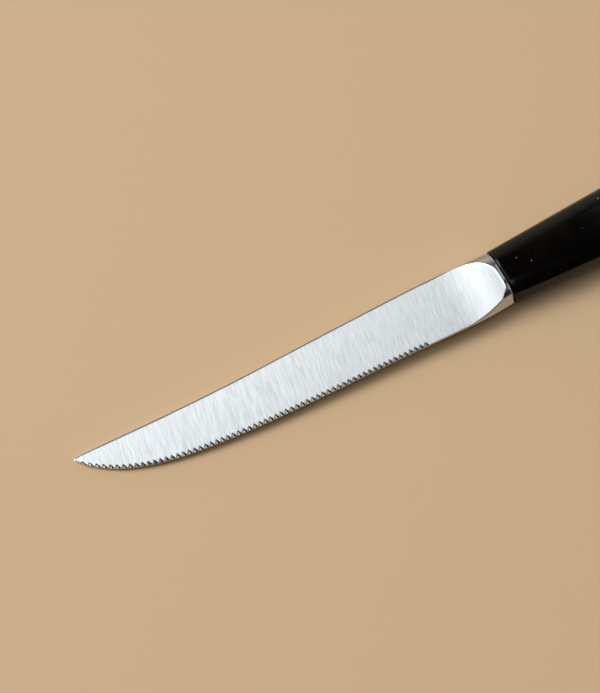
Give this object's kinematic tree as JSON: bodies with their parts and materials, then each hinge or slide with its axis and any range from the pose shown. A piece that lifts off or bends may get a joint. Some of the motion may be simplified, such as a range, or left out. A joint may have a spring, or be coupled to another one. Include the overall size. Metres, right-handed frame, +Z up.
{
  "type": "fruit knife",
  "caption": "Slim serrated fruit knife: brushed steel blade forged in one with its bolster and hidden tang, cemented into a flared gloss black handle.",
  "frame": {"origin": "middle of the knife's footprint, on the surface it lies on", "axes": "+X from the tip towards the butt, +Y towards the spine, +Z up from the surface"},
  "size_m": [0.2106, 0.0196, 0.0144],
  "materials": {
    "blade_steel": "brushed across the blade, polished on the sides of the bolster",
    "cement": "cured cement",
    "handle_black": "gloss black moulding"
  },
  "bodies": {
    "root": {"blade": "blade_steel", "tang_cement": "cement", "handle": "handle_black"}
  },
  "joints": []
}
